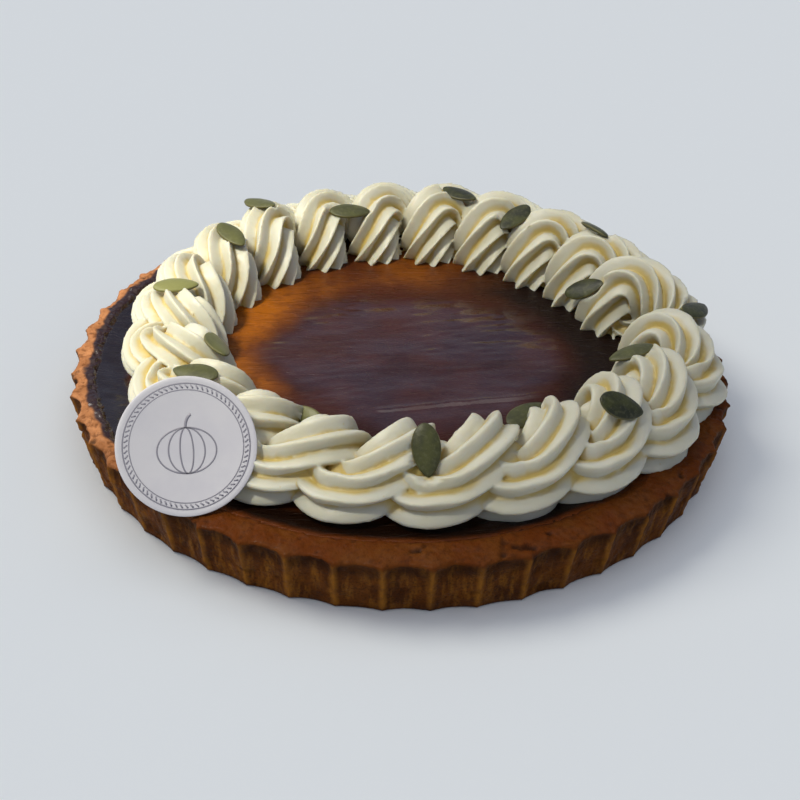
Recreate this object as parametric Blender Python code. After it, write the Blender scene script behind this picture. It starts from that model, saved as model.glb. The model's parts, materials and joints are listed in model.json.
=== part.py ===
"""Pumpkin tart: a fluted crust filled to the rim, a piped cream border, pumpkin seeds and a round tag.

Metres, +Z up. The origin is the centre of the crust's underside. The tag stands on the rim
towards -X, -Y.
"""

import math
import random

import bmesh
import bpy
from mathutils import Matrix, Vector
from mathutils.bvhtree import BVHTree

# Clearance kept between touching pieces.
GAP = 0.0003

# Crust: the outline runs over the rib tips, and the walls lean out from the base to the rim.
CRUST_HEIGHT = 0.0195
RIM_RADIUS = 0.115
BASE_RADIUS = 0.1095
FLUTES = 50
FLUTE_DEPTH = 0.0028
FLUTE_START = math.radians(-91.6)
POINTS_PER_FLUTE = 4
RIM_ROUNDING = 0.0016
FLOOR_THICKNESS = 0.005

# The rim's inner edge is a circle a little off the crust's centre, and the wall thickens below it.
WELL_RADIUS = 0.102
WELL_CENTRE = Vector((-0.0025, 0.0015))
WELL_FLOOR_RADIUS = 0.098
RIM_INNER_DROP = 0.0008
FILLING_TOP = 0.0176

# Cream: one star-shaped strand piped clockwise in overlapping loops round an uneven ring.
RING_CENTRE = Vector((0.0050, 0.0045))
RING_RADIUS = 0.0842
RING_WANDER = ((2, 0.0009, -50), (3, 0.0016, -28), (4, 0.0009, -91))
LOOPS = 20.5
FIRST_LOOP = -17.0
LOOP_STEP = 16.75
LOOP_REACH = 0.0092
LOOP_BACK = 0.0068
LOOP_HEIGHT = 0.0060
LOOP_WAVES = ((1, 0.0075, -19), (2, 0.0038, -32))
LOOP_TILT = 0.0060
LOOP_SKEW = math.radians(38.0)
LOOP_SWELL = 0.04
SWELL_TURN = math.radians(25.0)
LOOP_CHANCE = 0.035

# The first loop starts on the spot as a spiral: how far it turns before it moves off, how far it
# lags behind the other loops (both in loops), and the share of its size at the eye.
SPIRAL_START = 0.7
SPIRAL_LAG = 0.39
SPIRAL_EYE = 0.25
STRAND_RADIUS = 0.0108
STRAND_RIDGES = 9
GROOVE_DEPTH = 0.30
LOOP_SAMPLES = 26
CREAM_VOXEL = 0.00088
CREAM_SHARE = 0.0148
BED_MARGIN = 0.0012
BED_DEPTH = 0.03

# Pumpkin seeds, in degrees: azimuth round the ring, place over the border from its crest (negative
# is the inner side), lean of the flat side outwards, heading of the long axis from the tangent.
SEED_LENGTH = 0.0158
SEED_WIDTH = 0.0086
SEED_THICKNESS = 0.0026
SEED_SIDES = 6
SEED_STATIONS = (0.10, 0.32, 0.60, 0.88)
SEED_SINK = 0.0015
POCKET_OPENING = 0.002
CORE_HEIGHT = 0.0060
SEEDS = (
    (133, 14, 10, -82),
    (150, -17, -10, 69),
    (111, -50, -10, -12),
    (79, -6, 0, -27),
    (61, -24, -20, 73),
    (38, 3, 30, -12),
    (24, -67, -40, 49),
    (5, 53, 15, -41),
    (-23, -38, -15, -49),
    (-47, 14, 42, -38),
    (-61, -70, 12, 15),
    (-88, 18, 55, -84),
    (-119, -64, 55, 0),
    (-142, 8, 10, 32),
    (-152, -37, -30, -6),
    (178, 2, -4, -68),
)

# The tag: a thin disc that stands on the rim and leans back over the cream.
TAG_RADIUS = 0.0203
TAG_THICKNESS = 0.0018
TAG_SEGMENTS = 48
TAG_FOOT = Vector((-0.0592, -0.0940))
TAG_LEAN = math.radians(34.0)
TAG_TURN = math.radians(10.0)


def clear_scene():
    """Removes every object of the scene."""
    for item in list(bpy.data.objects):
        bpy.data.objects.remove(item)


def make_material(name, colour, roughness):
    """A Principled material with one colour."""
    material = bpy.data.materials.new(name)
    material.use_nodes = True
    shader = material.node_tree.nodes["Principled BSDF"]
    shader.inputs["Base Color"].default_value = (*colour, 1.0)
    shader.inputs["Roughness"].default_value = roughness
    shader.inputs["Metallic"].default_value = 0.0
    return material


def make_object(name, mesh_builder, material, smooth_angle=40.0):
    """Turns a finished bmesh into a named object, with its faces turned out."""
    bmesh.ops.recalc_face_normals(mesh_builder, faces=mesh_builder.faces)
    mesh = bpy.data.meshes.new(name)
    mesh_builder.to_mesh(mesh)
    mesh_builder.free()
    mesh.shade_smooth()
    mesh.set_sharp_from_angle(angle=math.radians(smooth_angle))
    mesh.materials.append(material)
    made = bpy.data.objects.new(name, mesh)
    bpy.context.collection.objects.link(made)
    return made


def add_ring(mesh_builder, points):
    """Adds a closed ring of vertices."""
    return [mesh_builder.verts.new(point) for point in points]


def join_rings(mesh_builder, lower, upper):
    """Joins two rings by quads, or by fans where the lower one has a multiple of the upper's points."""
    share = len(lower) // len(upper)
    for index, vertex in enumerate(upper):
        following = upper[(index + 1) % len(upper)]
        span = [lower[(index * share + step) % len(lower)] for step in range(share + 1)]
        middle = share // 2
        for step in range(share):
            if step == middle:
                mesh_builder.faces.new((span[step], span[step + 1], following, vertex))
            else:
                corner = vertex if step < middle else following
                mesh_builder.faces.new((span[step], span[step + 1], corner))


def circle(radius, height, count, centre=Vector((0.0, 0.0)), start=0.0):
    """Evenly spaced points on a level circle."""
    turns = [start + math.tau * index / count for index in range(count)]
    return [
        Vector((centre.x + radius * math.cos(turn), centre.y + radius * math.sin(turn), height))
        for turn in turns
    ]


def fluted_outline(radius, height):
    """Points on the crust's outside: narrow ribs with wide hollows between them."""
    points = []
    for index in range(FLUTES * POINTS_PER_FLUTE):
        across = (index % POINTS_PER_FLUTE + 0.5) / POINTS_PER_FLUTE
        turn = FLUTE_START + math.tau * (index + 0.5) / (FLUTES * POINTS_PER_FLUTE)
        hollow = FLUTE_DEPTH * math.sin(math.pi * across)
        reach = radius - hollow
        points.append(Vector((reach * math.cos(turn), reach * math.sin(turn), height)))
    return points


def wall_radius(height):
    """Radius over the rib tips at a height."""
    return BASE_RADIUS + (RIM_RADIUS - BASE_RADIUS) * height / CRUST_HEIGHT


def build_crust(material):
    """The pastry case: fluted outside, rounded rim, and a well down to its floor."""
    mesh_builder = bmesh.new()
    shoulder = CRUST_HEIGHT - RIM_ROUNDING
    half_round = RIM_ROUNDING * (1.0 - math.sqrt(0.5))
    outside = (
        (BASE_RADIUS, 0.0),
        (wall_radius(shoulder), shoulder),
        (wall_radius(CRUST_HEIGHT) - half_round, CRUST_HEIGHT - half_round),
        (wall_radius(CRUST_HEIGHT) - RIM_ROUNDING, CRUST_HEIGHT),
    )
    rings = [add_ring(mesh_builder, fluted_outline(*level)) for level in outside]
    inner_count = FLUTES
    rim_edge = circle(WELL_RADIUS, CRUST_HEIGHT - RIM_INNER_DROP, inner_count, WELL_CENTRE, FLUTE_START)
    well_foot = circle(WELL_FLOOR_RADIUS, FLOOR_THICKNESS, inner_count, WELL_CENTRE, FLUTE_START)
    rings += [add_ring(mesh_builder, rim_edge), add_ring(mesh_builder, well_foot)]
    for lower, upper in zip(rings, rings[1:]):
        join_rings(mesh_builder, lower, upper)
    mesh_builder.faces.new(rings[0])
    mesh_builder.faces.new(rings[-1])
    return make_object("crust", mesh_builder, material)


def build_filling(material):
    """The set custard, from the crust's floor to just under the rim."""
    mesh_builder = bmesh.new()
    count = FLUTES
    wall_slope = (WELL_RADIUS - WELL_FLOOR_RADIUS) / (CRUST_HEIGHT - RIM_INNER_DROP - FLOOR_THICKNESS)
    top_radius = WELL_FLOOR_RADIUS + wall_slope * (FILLING_TOP - FLOOR_THICKNESS) - GAP
    foot = circle(WELL_FLOOR_RADIUS - GAP, FLOOR_THICKNESS + GAP, count, WELL_CENTRE, FLUTE_START)
    brim = circle(top_radius, FILLING_TOP, count, WELL_CENTRE, FLUTE_START)
    lower, upper = add_ring(mesh_builder, foot), add_ring(mesh_builder, brim)
    join_rings(mesh_builder, lower, upper)
    mesh_builder.faces.new(lower)
    mesh_builder.faces.new(upper)
    return make_object("filling", mesh_builder, material)


def ring_radius(turn):
    """Distance from the ring's centre to the middle of the border."""
    wander = sum(
        size * math.cos(waves * turn - math.radians(phase)) for waves, size, phase in RING_WANDER
    )
    return RING_RADIUS + wander


def loop_turn(progress):
    """Azimuth of the loop that is being piped after a number of loops."""
    if progress >= 1.0:
        advance = progress - 0.5
    else:
        advance = max(progress, 0.0) ** 2 * (0.5 + SPIRAL_LAG) - SPIRAL_LAG
    return math.radians(FIRST_LOOP - LOOP_STEP * advance)


def loop_swing(turn, spin, spread):
    """Offset of the nozzle from the middle of the border: a leaning, skewed ellipse."""
    outward = Vector((math.cos(turn), math.sin(turn), 0.0))
    behind = Vector((-math.sin(turn), math.cos(turn), 0.0))
    swing = behind * LOOP_BACK * math.sin(spin + LOOP_SKEW) - outward * LOOP_REACH * math.cos(spin)
    swing.z = sum(
        reach * math.sin(waves * spin + math.radians(phase)) for waves, reach, phase in LOOP_WAVES
    )
    return swing * spread + Vector((0.0, 0.0, LOOP_HEIGHT))


def strand_path():
    """Stations of the piped strand: (point, axis of the loop, strand radius).

    Each loop leans back over the loop before it: it rises from the ring's inner side, crosses the
    crest and comes down on the outer side. The strand ends on the outer side.
    """
    rng = random.Random(7)
    chances = [rng.uniform(-LOOP_CHANCE, LOOP_CHANCE) for _ in range(int(LOOPS) + 2)]
    path = []
    for step in range(-int(SPIRAL_START * LOOP_SAMPLES), int(LOOPS * LOOP_SAMPLES) + 1):
        progress = step / LOOP_SAMPLES
        turn = loop_turn(progress)
        loop = int(max(progress, 0.0))
        chance = chances[loop] + (chances[loop + 1] - chances[loop]) * max(progress - loop, 0.0)
        size = 1.0 + chance + LOOP_SWELL * math.cos(turn - SWELL_TURN)
        opening = min(1.0, SPIRAL_EYE + (1.0 - SPIRAL_EYE) * (progress + SPIRAL_START))
        swing = loop_swing(turn, math.tau * progress, size * opening)
        outward = Vector((math.cos(turn), math.sin(turn), 0.0))
        behind = Vector((-math.sin(turn), math.cos(turn), 0.0))
        point = RING_CENTRE.to_3d() + outward * ring_radius(turn) + swing
        point.z += FILLING_TOP
        axis = outward.cross(behind * LOOP_BACK + Vector((0.0, 0.0, LOOP_TILT)))
        path.append((point, axis.normalized(), STRAND_RADIUS * size))
    return path


def star_profile():
    """(angle, reach) pairs round the strand: rounded ridges with sharp grooves."""
    profile = []
    per_ridge = 4
    for index in range(STRAND_RIDGES * per_ridge):
        across = (index % per_ridge) / per_ridge
        reach = 1.0 - GROOVE_DEPTH * (1.0 - math.sin(math.pi * across))
        profile.append((math.tau * index / (STRAND_RIDGES * per_ridge), reach))
    return profile


def sweep_strand(path, profile):
    """A closed star-shaped body swept along the path."""
    mesh_builder = bmesh.new()
    rings = []
    for index, (point, axis, radius) in enumerate(path):
        before = path[max(index - 1, 0)][0]
        after = path[min(index + 1, len(path) - 1)][0]
        side = (after - before).cross(axis).normalized()
        top = side.cross(after - before).normalized()
        ring = [
            point + (side * math.cos(angle) + top * math.sin(angle)) * radius * reach
            for angle, reach in profile
        ]
        rings.append(add_ring(mesh_builder, ring))
    for lower, upper in zip(rings, rings[1:]):
        join_rings(mesh_builder, lower, upper)
    mesh_builder.faces.new(rings[0])
    mesh_builder.faces.new(rings[-1])
    return mesh_builder


def cut(body, cutter):
    """Subtracts a hidden cutter from a body."""
    cutter.hide_render = True
    cutter.display_type = "WIRE"
    carve = body.modifiers.new(f"cut_{cutter.name}", "BOOLEAN")
    carve.operation = "DIFFERENCE"
    carve.solver = "EXACT"
    carve.object = cutter


def build_bed(material):
    """Cutter under the cream: the filling and the rim, both raised by the gap."""
    mesh_builder = bmesh.new()
    count = FLUTES
    step_radius = WELL_RADIUS - BED_MARGIN
    levels = (
        (RIM_RADIUS, CRUST_HEIGHT - BED_DEPTH),
        (RIM_RADIUS, CRUST_HEIGHT + GAP),
        (step_radius, CRUST_HEIGHT + GAP),
        (step_radius, FILLING_TOP + GAP),
    )
    rings = [add_ring(mesh_builder, circle(*level, count, WELL_CENTRE)) for level in levels]
    for lower, upper in zip(rings, rings[1:]):
        join_rings(mesh_builder, lower, upper)
    mesh_builder.faces.new(rings[0])
    mesh_builder.faces.new(rings[-1])
    return make_object("bed", mesh_builder, material)


def build_cream(material):
    """The piped border: the looping strand fused into one body, flat where it rests."""
    border = make_object("cream_border", sweep_strand(strand_path(), star_profile()), material)
    fuse = border.modifiers.new("fuse", "REMESH")
    fuse.mode = "VOXEL"
    fuse.voxel_size = CREAM_VOXEL
    thin = border.modifiers.new("thin", "DECIMATE")
    thin.ratio = CREAM_SHARE
    cut(border, build_bed(material))
    return border


def seed_body(name, grow, opening, material):
    """A pumpkin seed lying flat along X: a pointed oval with a thin edge.

    A pocket is the same body grown all round, with its upper side raised to open it upwards.
    """
    mesh_builder = bmesh.new()
    half_length = SEED_LENGTH / 2.0 + grow
    rings = []
    for station in SEED_STATIONS:
        swell = math.sin(math.pi * station) ** 0.6
        half_width = swell * SEED_WIDTH / 2.0 + grow
        half_depth = swell * SEED_THICKNESS / 2.0 + grow
        ring = []
        for side in range(SEED_SIDES):
            turn = math.tau * side / SEED_SIDES
            raised = opening if 0 < side < SEED_SIDES / 2 else 0.0
            ring.append(Vector((
                (2.0 * station - 1.0) * half_length,
                half_width * math.cos(turn),
                half_depth * math.sin(turn) + raised,
            )))
        rings.append(add_ring(mesh_builder, ring))
    for lower, upper in zip(rings, rings[1:]):
        join_rings(mesh_builder, lower, upper)
    for ring, end in ((rings[0], -half_length), (rings[-1], half_length)):
        tip = mesh_builder.verts.new(Vector((end, 0.0, 0.0)))
        for index, vertex in enumerate(ring):
            mesh_builder.faces.new((vertex, ring[(index + 1) % SEED_SIDES], tip))
    return make_object(name, mesh_builder, material)


def seed_placement(surface, azimuth, place, lean, heading):
    """World matrix of a seed pressed onto the border."""
    turn = math.radians(azimuth)
    outward = Vector((math.cos(turn), math.sin(turn), 0.0))
    tangent = Vector((-math.sin(turn), math.cos(turn), 0.0))
    upward = Vector((0.0, 0.0, 1.0))
    core = RING_CENTRE.to_3d() + outward * ring_radius(turn)
    core.z = FILLING_TOP + CORE_HEIGHT
    away = outward * math.sin(math.radians(place)) + upward * math.cos(math.radians(place))
    touch = surface.ray_cast(core + away * 3.0 * STRAND_RADIUS, -away)[0]
    normal = outward * math.sin(math.radians(lean)) + upward * math.cos(math.radians(lean))
    long_axis = Matrix.Rotation(math.radians(heading), 3, normal) @ tangent
    wide_axis = normal.cross(long_axis)
    heights = [0.0]
    for along, across in ((-0.3, 0.0), (0.3, 0.0), (0.0, -0.3), (0.0, 0.3)):
        offset = long_axis * along * SEED_LENGTH + wide_axis * across * SEED_WIDTH
        distance = surface.ray_cast(touch + offset + normal * STRAND_RADIUS, -normal)[3]
        if distance is not None:
            heights.append(STRAND_RADIUS - distance)
    height = max(heights) + SEED_THICKNESS / 2.0 - SEED_SINK
    axes = Matrix((long_axis, wide_axis, normal)).transposed().to_4x4()
    return Matrix.Translation(touch + normal * height) @ axes


def build_seeds(border, material):
    """The seeds, and the pockets that they press into the border."""
    surface = BVHTree.FromObject(border, bpy.context.evaluated_depsgraph_get())
    for number, place in enumerate(SEEDS, start=1):
        matrix = seed_placement(surface, *place)
        seed = seed_body(f"seed_{number:02d}", 0.0, 0.0, material)
        seed.matrix_world = matrix
        pocket = seed_body(f"pocket_{number:02d}", GAP, POCKET_OPENING, material)
        pocket.matrix_world = matrix
        cut(border, pocket)


def tag_body(name, grow, material):
    """The round tag in its own frame, face towards +Z, grown all round."""
    mesh_builder = bmesh.new()
    half = TAG_THICKNESS / 2.0 + grow
    rings = [
        add_ring(mesh_builder, circle(TAG_RADIUS + grow, height, TAG_SEGMENTS))
        for height in (-half, half)
    ]
    join_rings(mesh_builder, rings[0], rings[1])
    mesh_builder.faces.new(rings[0])
    mesh_builder.faces.new(rings[1])
    return make_object(name, mesh_builder, material)


def build_tag(border, material):
    """The tag on the rim, and its clearance in the border."""
    facing = Vector((
        math.sin(TAG_TURN) * math.cos(TAG_LEAN),
        -math.cos(TAG_TURN) * math.cos(TAG_LEAN),
        math.sin(TAG_LEAN),
    ))
    uphill = (Vector((0.0, 0.0, 1.0)) - facing * facing.z).normalized()
    sideways = uphill.cross(facing)
    lowest = TAG_RADIUS * uphill.z + TAG_THICKNESS / 2.0 * facing.z
    centre = TAG_FOOT.to_3d() + uphill * TAG_RADIUS
    centre.z = CRUST_HEIGHT + GAP + lowest
    matrix = Matrix.Translation(centre) @ Matrix((sideways, uphill, facing)).transposed().to_4x4()
    tag_body("tag", 0.0, material).matrix_world = matrix
    clearance = tag_body("tag_clearance", GAP, material)
    clearance.matrix_world = matrix
    cut(border, clearance)


def main():
    """Builds the tart."""
    clear_scene()
    build_crust(make_material("crust", (0.45, 0.19, 0.06), 0.6))
    build_filling(make_material("filling", (0.22, 0.07, 0.02), 0.2))
    border = build_cream(make_material("cream", (0.85, 0.78, 0.55), 0.5))
    build_seeds(border, make_material("seed", (0.10, 0.12, 0.03), 0.5))
    build_tag(border, make_material("tag", (0.72, 0.71, 0.76), 0.4))


if __name__ == "__main__":
    main()
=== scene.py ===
"""Pumpkin tart: the finished looks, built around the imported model.

Metres, +Z up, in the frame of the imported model: the tart stands on z = 0 with its crust centred on
the origin, and the tag stands on the rim towards -X, -Y.
"""

import json
import logging
import math
import random
from dataclasses import dataclass
from enum import Enum
from itertools import product
from typing import NamedTuple

import bpy
import numpy as np
from mathutils import Matrix, Vector

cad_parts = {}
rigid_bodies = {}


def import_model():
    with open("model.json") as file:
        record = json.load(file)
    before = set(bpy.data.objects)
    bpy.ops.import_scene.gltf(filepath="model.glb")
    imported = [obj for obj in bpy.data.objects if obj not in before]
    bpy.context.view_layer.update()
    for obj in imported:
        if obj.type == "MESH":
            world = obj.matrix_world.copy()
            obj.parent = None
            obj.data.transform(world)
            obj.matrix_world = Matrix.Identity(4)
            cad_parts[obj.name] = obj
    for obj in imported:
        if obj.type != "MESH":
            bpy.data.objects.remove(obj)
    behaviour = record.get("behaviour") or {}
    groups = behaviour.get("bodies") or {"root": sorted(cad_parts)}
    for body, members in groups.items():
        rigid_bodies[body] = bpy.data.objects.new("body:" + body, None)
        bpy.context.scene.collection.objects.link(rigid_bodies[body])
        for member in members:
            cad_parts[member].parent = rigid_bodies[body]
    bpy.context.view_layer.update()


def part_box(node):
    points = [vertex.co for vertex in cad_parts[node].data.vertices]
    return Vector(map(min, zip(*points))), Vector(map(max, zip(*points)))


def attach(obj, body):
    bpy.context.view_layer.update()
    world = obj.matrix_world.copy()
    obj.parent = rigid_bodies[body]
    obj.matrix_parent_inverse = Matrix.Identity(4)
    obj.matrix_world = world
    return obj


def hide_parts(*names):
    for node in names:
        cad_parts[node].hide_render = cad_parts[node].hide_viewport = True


LOG = logging.getLogger("pumpkin_tart")
BODY = "root"

TABLE_SIZE = 4096
MIXERS = (73856093, 19349663, 83492791)
GRAIN_TURN = math.radians(11.0)

Colour = tuple[float, float, float, float]
Spot = tuple[float, float]
Place = tuple[float, float, float]
Socket = bpy.types.NodeSocket
Node = bpy.types.Node
Tree = bpy.types.NodeTree
Mesh = bpy.types.Mesh
Thing = bpy.types.Object


def tone(red: float, green: float, blue: float) -> Colour:
    """Takes a display colour through the sRGB curve.

    Args:
        red: from 0 to 255, as green and blue are.
        green: green.
        blue: blue.

    Returns:
        The linear colour that shaders take.
    """
    linear = [((part / 255.0 + 0.055) / 1.055) ** 2.4 if part > 10.0 else part / 3294.6
              for part in (red, green, blue)]
    return (linear[0], linear[1], linear[2], 1.0)


# ---- Shapes ------------------------------------------------------


def lumps(points: np.ndarray, cell: float, seed: int) -> np.ndarray:
    """Smooth noise over space.

    Args:
        points: positions, one row each.
        cell: size of one lump.
        seed: picks the pattern.

    Returns:
        One value between -1 and 1 for each point.
    """
    table = np.random.RandomState(seed).uniform(-1.0, 1.0, TABLE_SIZE)
    scaled = points / cell
    corner = np.floor(scaled).astype(np.int64)
    share = scaled - corner
    share = share * share * (3.0 - 2.0 * share)
    total = np.zeros(len(points))
    for step in product((0, 1), repeat=3):
        mixed = np.bitwise_xor.reduce((corner + np.array(step)) * np.array(MIXERS), axis=1)
        weight = np.prod(np.where(np.array(step) == 1, share, 1.0 - share), axis=1)
        total += table[mixed & (TABLE_SIZE - 1)] * weight
    return total


def layered_lumps(points: np.ndarray, cell: float, seed: int, layers: int = 3) -> np.ndarray:
    """Noise with finer noise on it.

    Args:
        points: positions, one row each.
        cell: size of the largest lumps.
        seed: picks the pattern.
        layers: how many sizes of lump, each half of the one before.

    Returns:
        One value for each point, mostly between -1 and 1.
    """
    total = np.zeros(len(points))
    for layer in range(layers):
        total += lumps(points, cell / 2**layer, seed + layer) / 2**layer
    return total / (2.0 - 2.0 ** (1 - layers))


@dataclass(frozen=True)
class Relief:
    """Uneven heights: how high, how large the lumps are, which pattern, and how many layers."""

    height: float
    cell: float
    seed: int
    layers: int = 3

    def over(self, points: np.ndarray) -> np.ndarray:
        """The height at each point."""
        return self.height * layered_lumps(points, self.cell, self.seed, self.layers)


def smooth_step(value: np.ndarray, low: float, high: float) -> np.ndarray:
    """Rises smoothly from 0 at low to 1 at high."""
    share = np.clip((value - low) / (high - low), 0.0, 1.0)
    return share * share * (3.0 - 2.0 * share)


def towards(turns: np.ndarray, middle: float, low: float, high: float) -> np.ndarray:
    """A mask over azimuths: 1 round the middle one and 0 on the far side."""
    return smooth_step(np.cos(turns - middle), low, high)


def polar(points: np.ndarray, centre: Spot = (0.0, 0.0)) -> tuple[np.ndarray, np.ndarray]:
    """Distance from an upright axis, and azimuth round it, of each point."""
    offset = points[:, :2] - np.array(centre)
    return np.hypot(offset[:, 0], offset[:, 1]), np.arctan2(offset[:, 1], offset[:, 0])


def side_ways(turn: float) -> tuple[Vector, Vector]:
    """The level directions outward from an upright axis and back round it, at an azimuth."""
    return (Vector((math.cos(turn), math.sin(turn), 0.0)),
            Vector((-math.sin(turn), math.cos(turn), 0.0)))


def circle(count: int, start: float = 0.0) -> tuple[np.ndarray, np.ndarray]:
    """Evenly spaced azimuths, and their directions in the plane, one row each."""
    turns = start + np.arange(count) * math.tau / count
    return turns, np.stack([np.cos(turns), np.sin(turns)], 1)


def level_ring(direction: np.ndarray, reach: np.ndarray | float, height: float,
               centre: Spot = (0.0, 0.0)) -> np.ndarray:
    """A level ring of points.

    Args:
        direction: directions from its centre, one row each.
        reach: its radius, the same all round or one for each direction.
        height: its height.
        centre: where its axis stands.

    Returns:
        One row for each point.
    """
    flat = np.array(centre) + direction * np.reshape(reach, (-1, 1))
    return np.column_stack([flat, np.full(len(direction), height)])


def in_scene(name: str, data: bpy.types.ID) -> Thing:
    """Adds an object to the scene.

    Args:
        name: the object's name.
        data: the mesh, light or camera that it holds.

    Returns:
        The object.
    """
    made = bpy.data.objects.new(name, data)
    bpy.context.scene.collection.objects.link(made)
    return made


def ring_body(name: str, rings: np.ndarray) -> Thing:
    """A closed body skinned over rings of points.

    Args:
        name: the piece's name.
        rings: points as rows of rings, each ring closed on itself.

    Returns:
        The new object, with a flat cap on its first and on its last ring.
    """
    rows, columns = rings.shape[:2]
    row = np.arange(rows - 1)[:, None] * columns
    here = np.arange(columns)[None, :]
    after = (here + 1) % columns
    quads = np.stack([row + here, row + after, row + columns + after, row + columns + here], -1)
    faces = quads.reshape(-1, 4).tolist()
    faces.append(list(range(columns))[::-1])
    faces.append(list(range((rows - 1) * columns, rows * columns)))
    mesh = bpy.data.meshes.new(name)
    mesh.from_pydata(rings.reshape(-1, 3).tolist(), [], faces)
    mesh.update()
    mesh.shade_smooth()
    return in_scene(name, mesh)


def joined_body(name: str, bodies: list[Thing]) -> Thing:
    """Joins separate bodies into one piece.

    Args:
        name: the piece's name.
        bodies: the bodies; the first one takes in the others.

    Returns:
        The piece.
    """
    with bpy.context.temp_override(
        active_object=bodies[0], selected_editable_objects=bodies, selected_objects=bodies
    ):
        bpy.ops.object.join()
    bodies[0].name = name
    bodies[0].data.name = name
    return bodies[0]


def vertex_rows(mesh: Mesh, field: str) -> np.ndarray:
    """Reads one vector of every vertex.

    Args:
        mesh: the mesh.
        field: the name of the vector.

    Returns:
        One row for each vertex.
    """
    flat = np.empty(len(mesh.vertices) * 3)
    mesh.vertices.foreach_get(field, flat)
    return flat.reshape(-1, 3)


def places(mesh: Mesh) -> np.ndarray:
    """The positions of a mesh's vertices."""
    return vertex_rows(mesh, "co")


def facings(mesh: Mesh) -> np.ndarray:
    """The normals of a mesh's vertices."""
    return vertex_rows(mesh, "normal")


def move_to(mesh: Mesh, points: np.ndarray) -> None:
    """Puts a mesh's vertices at new positions."""
    mesh.vertices.foreach_set("co", points.ravel())
    mesh.update()


def paint(mesh: Mesh, name: str, values: np.ndarray) -> None:
    """Stores one number for each vertex, for a finish to read."""
    layer = mesh.attributes.new(name, "FLOAT", "POINT")
    layer.data.foreach_set("value", values.astype(np.float32))


def spread_out(mesh: Mesh, values: np.ndarray, rounds: int) -> np.ndarray:
    """Averages values with those of neighbouring vertices.

    Args:
        mesh: the mesh that the values belong to.
        values: one row for each vertex.
        rounds: how many times to average.

    Returns:
        The smoothed values.
    """
    ends = np.empty(len(mesh.edges) * 2, dtype=np.int64)
    mesh.edges.foreach_get("vertices", ends)
    ends = ends.reshape(-1, 2)
    count = np.bincount(ends.ravel(), minlength=len(values)).astype(float)[:, None]
    result = values.reshape(len(values), -1)
    for _ in range(rounds):
        total = np.zeros_like(result)
        for column in range(result.shape[1]):
            total[:, column] = np.bincount(ends[:, 0], result[ends[:, 1], column], len(values))
            total[:, column] += np.bincount(ends[:, 1], result[ends[:, 0], column], len(values))
        result = 0.5 * result + 0.5 * total / np.maximum(count, 1.0)
    return result


def hollowness(mesh: Mesh, rounds: int, depth: float) -> np.ndarray:
    """How far each vertex lies in a groove.

    Args:
        mesh: the mesh to read.
        rounds: how widely its shape is averaged.
        depth: the depth that counts as 1.

    Returns:
        Values from -1 on a sharp ridge to 1 in a deep groove.
    """
    points = places(mesh)
    offset = spread_out(mesh, points, rounds) - points
    return np.clip((offset * facings(mesh)).sum(1) / depth, -1.0, 1.0)


def main_axes(points: np.ndarray) -> tuple[Vector, Matrix]:
    """Finds how some points lie.

    Args:
        points: positions, one row each.

    Returns:
        Their centre, and the directions of their longest, middle and shortest spread.
    """
    centre = (points.max(0) + points.min(0)) / 2.0
    around = points - points.mean(0)
    _, directions = np.linalg.eigh(around.T @ around)
    long_axis, wide_axis = Vector(directions[:, 2]), Vector(directions[:, 1])
    normal = long_axis.cross(wide_axis)
    if normal.z < 0.0:
        normal, wide_axis = -normal, -wide_axis
    return Vector(centre), Matrix((long_axis, wide_axis, normal)).transposed()


# ---- Finishes ----------------------------------------------------


class Step(Enum):
    """A step of arithmetic on two numbers."""

    TIMES = "MULTIPLY"
    PLUS = "ADD"
    BELOW = "LESS_THAN"


class Coat(NamedTuple):
    """A colour laid over another: where, by a socket or a painted name, and how strongly."""

    colour: object
    mask: object
    strength: float = 1.0


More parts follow.
